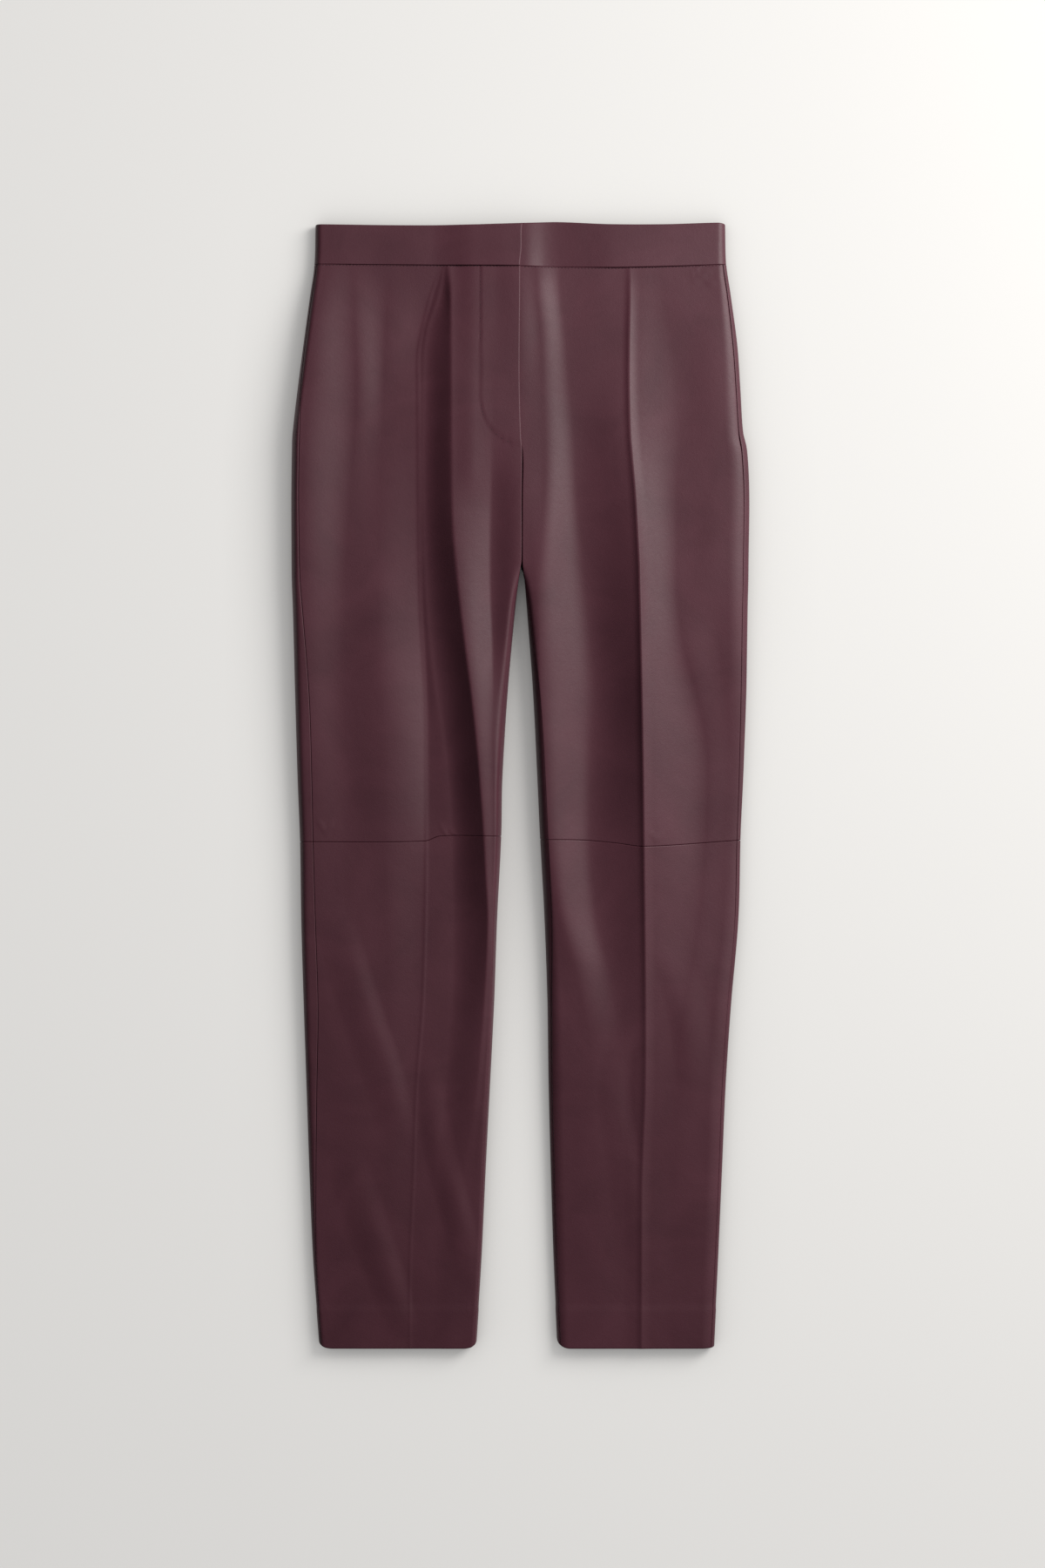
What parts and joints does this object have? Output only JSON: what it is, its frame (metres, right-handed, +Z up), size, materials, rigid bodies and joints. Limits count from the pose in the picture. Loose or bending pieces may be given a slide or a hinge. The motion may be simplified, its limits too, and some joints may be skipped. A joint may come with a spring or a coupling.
{
  "type": "leather trousers",
  "caption": "Flat-laid slim leather trousers with a plain waistband, concealed fly, pressed front creases and knee seams.",
  "frame": {"origin": "on the surface the trousers lie on, in the middle of their outline", "axes": "+Y towards the waist, +X towards the wearer's left, +Z up, out of the trousers' front"},
  "size_m": [0.4099, 1.008, 0.0292],
  "materials": {
    "leather": "soft semi-gloss"
  },
  "bodies": {
    "root": {"waistband_right": "leather", "waistband_left": "leather", "front_thigh_right": "leather", "front_thigh_left": "leather", "front_shin_right": "leather", "front_shin_left": "leather", "back_thigh_right": "leather", "back_thigh_left": "leather", "back_shin_right": "leather", "back_shin_left": "leather", "fly_shield": "leather"}
  },
  "joints": []
}
